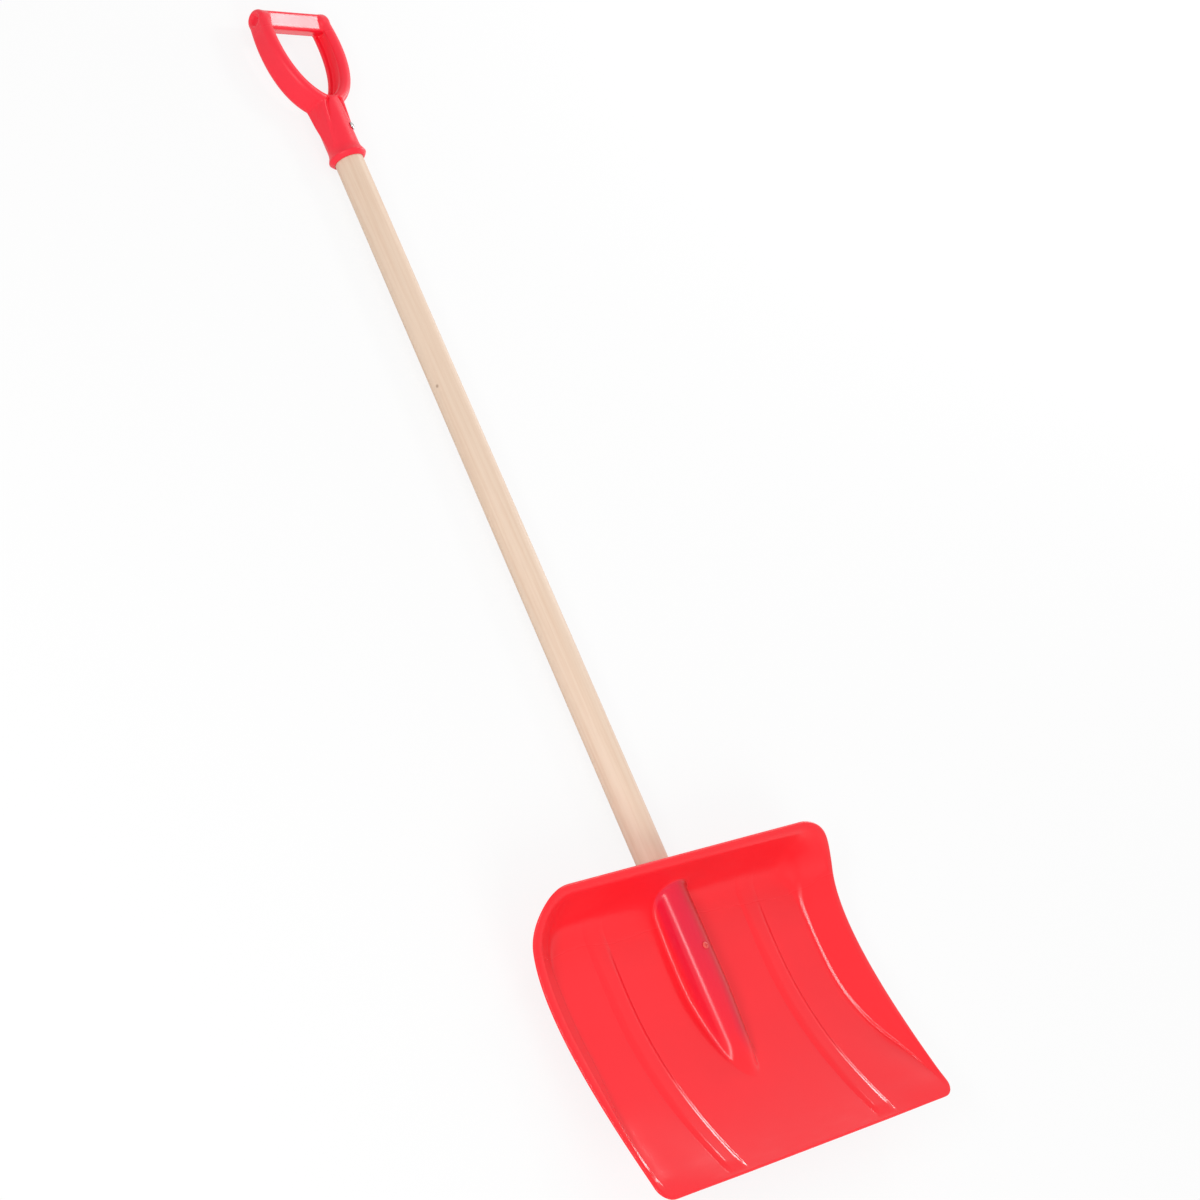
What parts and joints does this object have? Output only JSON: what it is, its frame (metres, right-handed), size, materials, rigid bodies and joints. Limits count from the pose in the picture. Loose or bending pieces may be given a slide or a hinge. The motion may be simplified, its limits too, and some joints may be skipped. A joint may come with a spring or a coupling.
{
  "type": "kids snow shovel",
  "caption": "Children's snow shovel: a moulded scoop blade with stiffening ribs on a round wooden shaft, with a moulded D-shaped grip, for pushing and lifting snow.",
  "frame": {"origin": "under the middle of the shovel, on the plane that its back lies on", "axes": "+X across the blade, +Y up the shaft from the scraping edge to the grip, +Z out of the scoop's open side"},
  "size_m": [0.3152, 0.9568, 0.0555],
  "materials": {
    "blade_plastic": "glossy, slightly translucent",
    "grip_plastic": "semi-gloss",
    "pale_wood": "smooth, sealed",
    "zinc_steel": "zinc plated"
  },
  "bodies": {
    "root": {"blade": "blade_plastic", "shaft": "pale_wood", "d_handle": "grip_plastic", "handle_screw": "zinc_steel", "blade_screw": "zinc_steel"}
  },
  "joints": []
}
